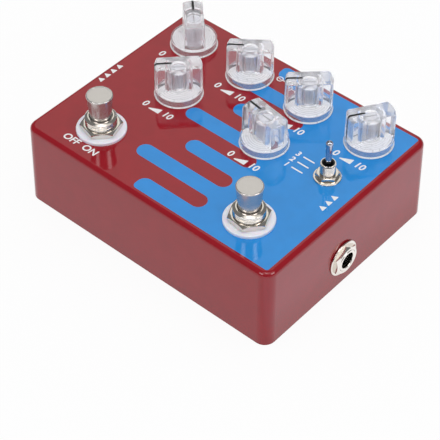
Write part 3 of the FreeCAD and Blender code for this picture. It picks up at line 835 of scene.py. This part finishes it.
class PEDAL_OT_knobs(Operator):
    """Builds the six hollow acrylic knobs, their pointer lines and the shafts inside them"""

    bl_idname = "pedal.knobs"
    bl_label = "Knobs and shafts"

    def execute(self, context):
        sizes = settings("knobs")
        low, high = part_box(KNOBS[0] + "_knob")
        self.foot, self.top = LID + sizes.gap, high.z - TOP_GAP
        self.rim = self.foot + sizes.rim_height
        self.bar_foot = self.foot + 0.4 * sizes.rim_height
        self.skirt = (high.x - low.x) / 2 - SIDE_GAP
        self.shaft_low, self.shaft_top = [end.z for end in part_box(KNOBS[0] + "_pot_shaft")]
        places = [self.place(knob) for knob in KNOBS]
        for kind, solid, look, node in (
            ("_pointer_knob", self.knob(sizes), "clear_acrylic", "_knob"),
            ("_pointer_line", self.line(sizes), "pointer_ink", None),
            ("_splined_shaft", self.shaft(sizes), "shaft_metal", "_pot_shaft"),
        ):
            for knob, copy in zip(KNOBS, copies(solid, places)):
                made = piece(knob + kind, copy, look, *([knob + node] if node else []),
                             body=body_of(knob + "_knob"))
                if look == "clear_acrylic":
                    self.frost(made.data, middle_of(knob + "_knob"), sizes)
        self.bushes(sizes)
        return {"FINISHED"}

    def frost(self, mesh, centre, sizes):
        """Leaves the recess's ceiling and the skirt's lowest edge as turned, not polished."""
        mesh.materials.append(finish("frosted_acrylic"))
        ceiling = self.foot + sizes.recess_height
        for face in mesh.polygons:
            height = face.center.z
            under = abs(height - ceiling) < 2 * sizes.ridge_depth and abs(face.normal.z) > 0.5
            out = (face.center - centre).xy.length > self.skirt - sizes.lip
            if under or (out and height < self.foot + sizes.lip_height):
                face.material_index = 1

    def bushes(self, sizes):
        """The ends of the pots' bushes, which stand in the lid's holes."""
        bore, edge = 3.06 * MM, 0.12 * MM
        outline = tube(bore, sizes.bush_radius - SIDE_GAP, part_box("pot_bodies")[1].z,
                       LID + sizes.bush_height, top=edge)
        ends = gathered(turned(outline, SMALL_STEPS, over(knob + "_knob")) for knob in KNOBS)
        piece("pot_bushes", ends, "nickel_plate")

    def place(self, knob):
        """From a knob made about the upright axis with its pointer along +X to its place."""
        joint = next(j for j in frame["joints"] if j["name"] == knob + "_turn")
        pointer = math.radians(FULL_DOWN_POINTER - joint["range_deg"][1])
        return at(*joint["pos_m"][:2]) @ spin(pointer)

    def bar_outline(self, radius, width, corner):
        """The bar from above: two flat flanks and two round ends."""
        swing = math.asin(width / 2 / radius)
        steps = 7
        return rounded([
            (*polar(radius, end + swing * k / steps), corner if abs(k) == steps else 0.0)
            for end in (0.0, math.pi) for k in range(-steps, steps + 1)
        ], 3)

    def bar_at(self, sizes, height):
        """The bar's radius and width at a height."""
        share = (height - self.bar_foot) / (self.top - self.bar_foot)
        radius = sizes.bar_foot_radius + (sizes.bar_top_radius - sizes.bar_foot_radius) * share
        width = sizes.bar_foot_width + (sizes.bar_top_width - sizes.bar_foot_width) * share
        return radius, width

    def knob(self, sizes):
        """A sloping skirt with a bar on it, hollowed from below."""
        wall, shoulder = self.skirt - sizes.lip, self.foot + sizes.shoulder_height
        lip_top = self.foot + sizes.lip_height
        solid = turned([
            (0, self.foot), (self.skirt, self.foot, 0.15 * MM),
            (self.skirt, lip_top - sizes.lip, 0.1 * MM), (wall, lip_top),
            (wall, self.rim, sizes.edge), (sizes.shoulder_radius, shoulder), (0, shoulder),
        ], soft_steps=5)
        straight = self.top - sizes.bar_end_edge
        heights = [self.bar_foot, (self.bar_foot + straight) / 2, straight]
        heights += [straight + sizes.bar_end_edge * math.sin(math.radians(a))
                    for a in (10, 20, 30, 40, 50, 58, 65, 72, 78, 84, 90)]
        levels = []
        for z in heights:
            radius, width = self.bar_at(sizes, z)
            radius -= rounding(z, self.top, sizes.bar_end_edge)
            width -= 2 * rounding(z, self.top, sizes.bar_edge)
            levels.append(at_height(self.bar_outline(radius, width, sizes.bar_corner), z))
        solid = combined(solid, lofted(levels), "UNION")
        below, ceiling = self.foot - MM, self.foot + sizes.recess_height
        recess = [(0, below), (sizes.recess_radius, below), (sizes.recess_radius, ceiling)]
        ridges = int((sizes.recess_radius - sizes.bore_radius) / sizes.ridge_pitch)
        for k in range(ridges):
            crest = sizes.recess_radius - (k + 0.5) * sizes.ridge_pitch
            recess += [(crest, ceiling + sizes.ridge_depth),
                       (crest - sizes.ridge_pitch / 2, ceiling)]
        solid = combined(solid, turned(recess + [(0, ceiling)]))
        for end in (0.0, math.pi):
            solid = combined(solid, self.hollow(sizes, ceiling - 0.3 * MM, end))
        bore = [(0, below), (sizes.bore_radius, below), (sizes.bore_radius, self.shaft_top),
                (0, self.shaft_top + sizes.bore_tip)]
        return combined(solid, turned(bore, SMALL_STEPS))

    def hollow(self, sizes, low, end):
        """The hollow between the hub and one end of the bar, narrower at its top."""
        high, steps = self.top - sizes.slab, 6
        levels = []
        for z, inset in ((low, 0.0), (high - 0.3 * MM, 0.2 * MM), (high, 0.45 * MM)):
            half = sizes.bar_foot_width / 2 - sizes.wall - inset
            outer = sizes.bar_foot_radius - sizes.end_wall - inset
            outline = []
            for radius, way in ((outer, 1), (sizes.hub_radius + inset, -1)):
                swing = math.asin(min(1.0, half / radius))
                outline += [polar(radius, end + way * swing * k / steps)
                            for k in range(-steps, steps + 1)]
            levels.append(at_height(outline, z))
        return lofted(levels)

    def line(self, sizes):
        """The inked line along the bar's top and down its end."""
        end_foot = self.rim - 0.1 * MM
        edge = sizes.bar_end_edge
        corner = Vector((sizes.bar_top_radius - edge, self.top - edge))
        path = [(Vector((sizes.pointer_start, self.top)), Vector((0, 1)))]
        for k in range(7):
            out = Vector(polar(1, math.radians(90 - 15 * k)))
            path.append((corner + out * edge, out))
        path.append((Vector((self.bar_at(sizes, end_foot)[0], end_foot)), Vector((1, 0))))
        proud, sunk = 0.03 * MM, 0.12 * MM
        half = sizes.pointer_width / 2
        levels = []
        for point, out in path:
            inner, outer = point - out * sunk, point + out * proud
            levels.append([(p.x, y, p.y) for p, y in (
                (inner, -half), (outer, -half), (outer, half), (inner, half))])
        return lofted(levels)

    def shaft(self, sizes):
        """A round shaft with a slit, splined end."""
        radius, top = 2.98 * MM, self.shaft_top - TOP_GAP
        grooved = top - sizes.spline_length
        step, splines, tip, slit_depth = 0.3 * MM, 18, 0.4 * MM, 5 * MM
        plain = turned([
            (0, self.shaft_low), (radius, self.shaft_low, 0.2 * MM), (radius, grooved, 0.2 * MM),
            (radius - step, grooved + step), (0, grooved + step)], SMALL_STEPS)
        levels = []
        for z, inset in ((grooved, 0.0), (top - tip, 0.0), (top, tip)):
            outline = [polar(radius - inset - (sizes.spline_depth if k % 4 > 1 else 0.0), a)
                       for k, a in enumerate(around(4 * splines))]
            levels.append(at_height(outline, z))
        solid = combined(plain, lofted(levels), "UNION")
        slit = upright(rectangle(8 * MM, sizes.slit), top - slit_depth, top + MM)
        return combined(solid, slit)


# The stomp switches


class PEDAL_OT_stomp_switches(Operator):
    """Builds the light rings, nuts, bushes and caps of the two stomp switches"""

    bl_idname = "pedal.stomp_switches"
    bl_label = "Stomp switches"

    def execute(self, context):
        sizes = settings("switches")
        ring_low, ring_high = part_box("light_rings")
        nut_low, nut_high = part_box("switch_nuts")
        inner, flat, reach = 6.05 * MM, 7.2 * MM, ring_high.x - SWITCH_X
        ring = turned([(inner, ring_low.z), (reach, ring_low.z),
                       (reach, ring_high.z, sizes.ring_edge), (flat, ring_high.z),
                       (inner, ring_high.z, 0.2 * MM)], soft_steps=5)
        flats, bore = 14.0 * MM, 6.02 * MM
        nut_turns = {"delay": -14.0, "drive": -6.5}
        places = [over(switch + "_switch_button") for switch in SWITCHES]
        nuts = []
        for switch, place in zip(SWITCHES, places):
            nuts.append(hexagon_nut(flats, nut_low.z, nut_high.z, bore, sizes.nut_chamfer,
                                    math.radians(nut_turns[switch])))
            nuts[-1].transform(place)
            node = switch + "_switch_button"
            piece(switch + "_stomp_cap", stomp_cap(sizes, place, *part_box(node)), "cap_plate",
                  node)
        piece("milky_rings", gathered(copies(ring, places)), "milky_plastic", "light_rings")
        piece("stomp_nuts", gathered(nuts), "nickel_plate", "switch_nuts")
        bushes = copies(stomp_bush(sizes, nut_high.z), places)
        piece("stomp_bushes", gathered(bushes), "nickel_plate", "switch_frames")
        refinish("switch_moulding", "switch_bases")
        refinish("tinned_metal", "switch_lugs")
        return {"FINISHED"}


def stomp_bush(sizes, nut_top):
    """The folded frame under the lid and the bush with its sloping collar."""
    low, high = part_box("switch_frames")
    half, top = high.x - SWITCH_X, high.z
    frame_case = block(Vector((-half, -half, low.z)), Vector((half, half, CEILING)),
                       sizes.case_edge)
    radius, bore, mouth, slope = 6.0 * MM, 4.45 * MM, sizes.mouth_radius, sizes.collar_radius
    shoulder, gap = top - sizes.collar_drop, 0.1 * MM
    bush = [(0, CEILING - MM), (radius, CEILING - MM)]
    bush += thread(nut_top - 1.2 * MM, shoulder - gap, radius, sizes.thread_pitch,
                   sizes.thread_depth)
    bush += [(radius, shoulder - gap), (radius, shoulder), (slope + gap, top - 0.04 * MM),
             (slope - gap, top), (0, top)]
    floor, above = CEILING - 0.4 * MM, top + 0.2 * MM
    hole = [(0, floor), (bore, floor), (bore, top - 0.5 * MM), (mouth, top - 0.3 * MM),
            (mouth, top - 0.1 * MM), (mouth + 0.3 * MM, above), (0, above)]
    return combined(combined(frame_case, turned(bush), "UNION"), turned(hole))


def stomp_cap(sizes, place, low, high):
    """The tapered cap with its rounded rim, on the stem."""
    stem, waist, crown = 4.38 * MM, 4.0 * MM, 5.08 * MM
    rim, dish = crown - 0.9 * MM, high.z - 0.06 * MM
    bush_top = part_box("switch_frames")[1].z
    return turned([
        (0, low.z), (stem, low.z, 0.2 * MM), (stem, bush_top - 0.75 * MM, 0.15 * MM),
        (waist, bush_top - 0.55 * MM, 0.1 * MM), (crown, high.z, sizes.cap_edge),
        (rim, high.z), (rim - 0.04 * MM, dish), (0, dish),
    ], place=place, soft_steps=5)


# The lever switch


class PEDAL_OT_lever_switch(Operator):
    """Builds the lever switch's bat, bush, nut and washer"""

    bl_idname = "pedal.lever_switch"
    bl_label = "Lever switch"

    def execute(self, context):
        sizes = settings("lever")
        low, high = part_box("lever_nut")
        washer_top = low.z + sizes.washer_thickness
        flats, nut_bore, nut_turn, washer_bore = 8.0 * MM, 2.96 * MM, -0.333, 2.97 * MM
        nut = hexagon_nut(flats, washer_top, high.z, nut_bore, sizes.nut_chamfer, nut_turn)
        washer = turned(tube(washer_bore, sizes.washer_radius, low.z, washer_top, 0.1 * MM,
                             0.2 * MM))
        for name, solid, look, *replaced in (
            ("lever_bat", bat(sizes), "lever_steel", "lever"),
            ("lever_hexagon", nut, "nickel_plate", "lever_nut"),
            ("lever_washer", washer, "nickel_plate"),
            ("lever_bush", lever_bush(sizes, high.z), "nickel_plate", "lever_case"),
            ("lever_lining", lining(), "black_plastic"),
        ):
            solid.transform(over("lever_nut"))
            piece(name, solid, look, *replaced)
        refinish("tinned_metal", "lever_pins")
        return {"FINISHED"}


def bat(sizes):
    """A bat that swells towards its round tip, on a cross axle."""
    low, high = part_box("lever")
    joint = next(j for j in frame["joints"] if j["child"] == body_of("lever"))
    pivot = joint["pos_m"][2]
    neck, root, axle_radius, ball = pivot + 2.2 * MM, 1.34 * MM, 0.78 * MM, sizes.tip_radius
    outline = [(0, low.z), (1.2 * MM, low.z), (root, low.z + 0.3 * MM), (root, neck),
               (sizes.foot_radius, neck + 0.15 * MM)]
    for k in range(9):
        radius, rise = polar(ball, math.radians(-8 + 98 * k / 8))
        outline.append((radius, high.z - ball + rise))
    half = (high.x - low.x) / 2
    across = at(0, 0, pivot) @ spin(QUARTER, "Y")
    axle = turned(cylinder(axle_radius, -half, half), 32, across)
    return combined(turned(outline, SMALL_STEPS), axle, "UNION")


def lever_bush(sizes, nut_top):
    """The case under the lid and the threaded bush that the lever stands in."""
    low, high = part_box("lever_case")
    half, top = (high - low) / 2, high.z
    case = block(Vector((-half.x, -half.y, low.z)), Vector((half.x, half.y, CEILING)),
                 sizes.case_edge)
    radius, bore = 2.94 * MM, 2.45 * MM
    bush = [(0, CEILING - MM), (radius, CEILING - MM)]
    bush += thread(nut_top - MM, top - 0.5 * MM, radius, sizes.thread_pitch, sizes.thread_depth)
    bush += [(radius, top - 0.35 * MM), (radius - 0.15 * MM, top - 0.05 * MM),
             (radius - 0.2 * MM, top), (0, top)]
    hole = cylinder(bore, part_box("lever")[0].z - 0.4 * MM, top + MM)
    return combined(combined(case, turned(bush, SMALL_STEPS), "UNION"), turned(hole, SMALL_STEPS))


def lining():
    """The dark tube in the bush's mouth."""
    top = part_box("lever_case")[1].z - 0.35 * MM
    foot, step = top - 3.4 * MM, top - 0.3 * MM
    inner, outer, mouth = 2.2 * MM, 2.44 * MM, 1.95 * MM
    return turned([(inner, foot), (outer, foot), (outer, top), (mouth, top), (mouth, step),
                   (inner, step)], SMALL_STEPS)


# The jacks and the power socket


class PEDAL_OT_jacks(Operator):
    """Builds the sleeves, nuts and washers of both jacks, and the power socket's pin"""

    bl_idname = "pedal.jacks"
    bl_label = "Jacks and power socket"

    def execute(self, context):
        sizes = settings("jacks")
        low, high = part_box("jack_sleeves")
        centre = (low + high) / 2
        outer, mouth = (high.z - low.z) / 2, high.x - 0.04 * MM
        bore, inner_end, flats = 3.25 * MM, 57.2 * MM, 11.2 * MM
        wall_slope = 0.6 / 36.0
        foot = BOX_HIGH.x - wall_slope * (centre.z - sizes.washer_radius) - SIDE_GAP
        washer_top = foot + sizes.washer_thickness
        sleeve = turned([(bore, inner_end), (outer - SIDE_GAP, inner_end),
                         (outer - SIDE_GAP, mouth, sizes.lip), (bore, mouth, sizes.lip * 0.8)],
                        soft_steps=6)
        nut = hexagon_nut(flats, washer_top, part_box("jack_nuts")[1].x, outer,
                          sizes.nut_chamfer, both=False)
        washer = turned(tube(outer + SIDE_GAP, sizes.washer_radius, foot, washer_top, 0.1 * MM,
                             0.3 * MM), soft_steps=4)
        ends = [at(0, centre.y, centre.z) @ spin(turn) @ spin(QUARTER, "Y")
                for turn in (0.0, math.pi)]
        for name, solid, *replaced in (("jack_mouths", sleeve, "jack_sleeves"),
                                       ("jack_hexagons", nut, "jack_nuts"),
                                       ("jack_washers", washer)):
            piece(name, gathered(copies(solid, ends)), "nickel_plate", *replaced)
        piece("power_pin", power_pin(sizes), "nickel_plate")
        refinish("black_plastic", "jack_bodies", "power_socket")
        refinish("tinned_metal", "jack_contacts")
        return {"FINISHED"}


def power_pin(sizes):
    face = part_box("power_socket")[1]
    bore_depth, axis_drop = 9.5 * MM, 6.5 * MM
    foot, tip = face.y - bore_depth - MM, face.y - sizes.pin_set_back
    radius = sizes.pin_radius
    return turned([(0, foot), (radius, foot), (radius, tip, radius * 0.6), (0, tip)],
                  SMALL_STEPS, at(0, 0, face.z - axis_drop) @ spin(-QUARTER, "X"), 6)


# What stands inside


class PEDAL_OT_inside(Operator):
    """Finishes the board and its parts, and builds the flat leads"""

    bl_idname = "pedal.inside"
    bl_label = "Board and leads"

    def execute(self, context):
        refinish("solder_mask", "main_board")
        refinish("black_plastic", "chips")
        refinish("dipped_film", "capacitors")
        refinish("pot_plastic", "pot_bodies")
        wire, jack_run = 0.9 * MM, 4.0 * MM
        low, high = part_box("jack_leads")
        wires = []
        for side in (-1, 1):
            start = Vector((side * high.x, (low.y + high.y) / 2, low.z + wire / 2))
            wires += ribbon(start, Vector((-side, 0, 0)), jack_run, high.z, high.y - low.y, wire)
        piece("jack_ribbons", gathered(wires), "lead_sleeving", "jack_leads")
        low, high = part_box("switch_leads")
        run, width = high.y - low.y - wire / 2, 2 * (high.x - SWITCH_X)
        wires = []
        for side in (-1, 1):
            start = Vector((side * SWITCH_X, low.y, low.z + wire / 2))
            wires += ribbon(start, Vector((0, 1, 0)), run, high.z, width, wire)
        piece("switch_ribbons", gathered(wires), "lead_sleeving", "switch_leads")
        return {"FINISHED"}


def ribbon(start, way, run, top, width, wire):
    """Wires side by side that run level, bend and climb."""
    number = round(width / wire)
    up = Vector((0, 0, 1))
    across = way.cross(up)
    bend, steps, share = 1.4 * MM, 6, 0.97
    centre = start + way * (run - bend) + up * bend
    path = [start]
    for k in range(steps + 1):
        a = QUARTER * k / steps
        path.append(centre + way * bend * math.sin(a) - up * bend * math.cos(a))
    path.append(Vector((*path[-1].xy, top)))
    shifts = [across * (k - (number - 1) / 2) * (width - wire) / (number - 1)
              for k in range(number)]
    return [swept([p + shift for p in path], wire / 2 * share, across) for shift in shifts]


# The stage


class PEDAL_OT_stage(Operator):
    """Sets the pale floor, the soft light and the camera"""

    bl_idname = "pedal.stage"
    bl_label = "Stage"

    def execute(self, context):
        stage = settings("stage")
        lay_floor(stage)
        light_sky(stage)
        hang_key_light(stage)
        set_camera(stage)
        context.scene.view_settings.view_transform = "Standard"
        return {"FINISHED"}


def shown_rays(tree):
    """1 for rays by which the picture, gloss or clear plastic sees the background."""
    rays = added(tree, "LightPath", {})
    return rays["Is Camera Ray"], rays["Is Glossy Ray"], rays["Is Transmission Ray"]


def lay_floor(stage):
    """A pale floor that keeps shadows and is near white to the rays that show it."""
    bm = bmesh.new()
    bmesh.ops.create_grid(bm, x_segments=8, y_segments=8, size=stage.floor / 2)
    floor = in_scene("floor", mesh_of("floor", bm))
    material = bpy.data.materials.new("pale_floor")
    material.use_nodes = True
    tree = material.node_tree
    shader = tree.nodes["Principled BSDF"]
    feed(tree, shader, {"Base Color": (0.92, 0.92, 0.92, 1), "Roughness": 0.9,
                        "Specular IOR Level": 0.0})
    camera, glossy, through = shown_rays(tree)
    shown = added(tree, "Math", {0: camera, 1: glossy}, operation="ADD")[0]
    shown = added(tree, "Math", {0: shown, 1: through}, operation="ADD")[0]
    share = added(tree, "Math", {0: shown, 1: stage.glow}, operation="MULTIPLY",
                  use_clamp=True)[0]
    # Gloss sees a painted pool of light on the floor at the box's right
    glow = added(tree, "Emission", {"Color": painted_light_right(stage, tree, glossy)})[0]
    mix = added(tree, "MixShader", {"Fac": share, 1: shader.outputs["BSDF"], 2: glow})[0]
    feed(tree, tree.nodes["Material Output"], {"Surface": mix})
    floor.data.materials.append(material)


def painted_light_right(stage, tree, glossy):
    """Paints a pool of light on the floor at the box's right, so that gloss sees the floor brighter
    there than in front of it.
    """
    place = added(tree, "TexCoord", {})["Object"]
    x = added(tree, "SeparateXYZ", {"Vector": place})["X"]
    rise = added(tree, "MapRange", {"Value": x, "From Min": BOX_HIGH.x,
                                    "From Max": BOX_HIGH.x + 12 * MM},
                 interpolation_type="SMOOTHSTEP")["Result"]
    share = added(tree, "Math", {0: rise, 1: glossy}, operation="MULTIPLY")[0]
    bright = (stage.right, stage.right, stage.right * 1.04, 1)
    return added(tree, "Mix", {"Factor": share, "A": (1, 1, 1, 1), "B": bright},
                 data_type="RGBA")["Result"]


def light_sky(stage):
    """An even light, white to the camera, with soft panels for gloss to reflect."""
    world = bpy.data.worlds.new("studio")
    bpy.context.scene.world = world
    world.use_nodes = True
    tree = world.node_tree
    even = tree.nodes["Background"]
    feed(tree, even, {"Color": (0.97, 0.98, 1.0, 1), "Strength": stage.ambient})
    place = added(tree, "TexCoord", {})["Generated"]
    room = (stage.dim, stage.dim, stage.dim, 1)
    pink = (1.0, 0.96, 0.97)
    for way, start, full, strength, tint in (
        ((-0.46, 0.53, 0.71), 0.93, 0.975, stage.panel, (1.0, 0.99, 0.93)),
        ((0.25, -0.29, 0.92), 0.88, 0.96, stage.front, (1.0, 0.99, 0.97)),
        ((0.62, 0.05, 0.78), 0.88, 0.95, stage.side, (1.0, 0.97, 0.94)),
        ((-0.10, -0.77, 0.63), 0.955, 0.985, stage.spark, pink),
        ((0.80, 0.14, 0.58), 0.955, 0.985, stage.spark, pink),
        ((0.20, -0.23, 0.95), 0.985, 0.995, stage.spark, pink),
    ):
        towards = added(tree, "VectorMath", {0: place, 1: Vector(way).normalized()},
                        operation="DOT_PRODUCT")["Value"]
        light = ramp(tree, towards, "EASE", (start, (0, 0, 0, 1)),
                     (full, (*[strength * t for t in tint], 1)))
        room = added(tree, "Mix", {"Factor": 1.0, "A": room, "B": light},
                     data_type="RGBA", blend_type="ADD")["Result"]
    reflected = added(tree, "Background", {"Color": room})[0]
    white = added(tree, "Background", {"Color": (1, 1, 1, 1)})[0]
    camera, glossy, through = shown_rays(tree)
    seen = even.outputs[0]
    for rays, background in ((glossy, reflected), (through, white), (camera, white)):
        seen = added(tree, "MixShader", {"Fac": rays, 1: seen, 2: background})[0]
    feed(tree, tree.nodes["World Output"], {"Surface": seen})


def hang_key_light(stage):
    """A square lamp overhead, which gloss doesn't reflect."""
    light = bpy.data.lights.new("key_light", "AREA")
    light.shape = "RECTANGLE"
    side, place, lit_point = 1.2, (0.25, -0.15, 1.28), Vector((0, 0, 0.03))
    light.size = light.size_y = side
    light.energy = stage.key
    lamp = in_scene("key_light", light)
    lamp.location = place
    aim = lit_point - lamp.location
    lamp.rotation_euler = aim.to_track_quat("-Z", "Y").to_euler()
    lamp.visible_glossy = False


def set_camera(stage):
    lens = bpy.data.cameras.new("photo_camera")
    lens.lens = stage.lens
    lens.sensor_width = 36.0
    lens.sensor_fit = "HORIZONTAL"
    lens.clip_end = 50.0
    camera = in_scene("photo_camera", lens)
    az, el = stage.azimuth, stage.elevation
    back = Vector((math.sin(az) * math.cos(el), -math.cos(az) * math.cos(el), math.sin(el)))
    right = Vector((math.cos(az), math.sin(az), 0))
    turn = Matrix((right, back.cross(right), back)).transposed()
    roll = Matrix.Rotation(stage.roll, 3, "Z")
    place = Vector(stage.target) + back * stage.distance
    camera.matrix_world = Matrix.Translation(place) @ (turn @ roll).to_4x4()
    bpy.context.scene.camera = camera


GROUPS = {
    "colours": PedalColours,
    "knobs": PedalKnobSizes,
    "switches": PedalSwitchSizes,
    "lever": PedalLeverSizes,
    "jacks": PedalJackSizes,
    "print": PedalPrintSizes,
    "stage": PedalStageSettings,
}
STEPS = (PEDAL_OT_stage, PEDAL_OT_box, PEDAL_OT_field, PEDAL_OT_marks, PEDAL_OT_knobs,
         PEDAL_OT_stomp_switches, PEDAL_OT_lever_switch, PEDAL_OT_jacks, PEDAL_OT_inside)


class PEDAL_PT_build(Panel):
    """Lists the pedal's pieces and the settings that they are built from"""

    bl_idname = "PEDAL_PT_build"
    bl_label = "Drive and Delay Pedal"
    bl_space_type = "VIEW_3D"
    bl_region_type = "UI"
    bl_category = "Pedal"

    def draw(self, context):
        for step in STEPS:
            self.layout.operator(step.bl_idname)
        for name, group in GROUPS.items():
            section = self.layout.box()
            section.label(text=name.capitalize())
            for field in group.__annotations__:
                section.prop(settings(name), field)


def register():
    for cls in (*GROUPS.values(), *STEPS, PEDAL_PT_build):
        bpy.utils.register_class(cls)
    for name, group in GROUPS.items():
        setattr(bpy.types.Scene, "pedal_" + name, PointerProperty(type=group))


def unregister():
    for name in GROUPS:
        delattr(bpy.types.Scene, "pedal_" + name)
    for cls in reversed((*GROUPS.values(), *STEPS, PEDAL_PT_build)):
        bpy.utils.unregister_class(cls)


def main():
    register()
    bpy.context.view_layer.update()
    for step in STEPS:
        category, name = step.bl_idname.split(".")
        getattr(getattr(bpy.ops, category), name)()


if __name__ == "__main__":
    main()
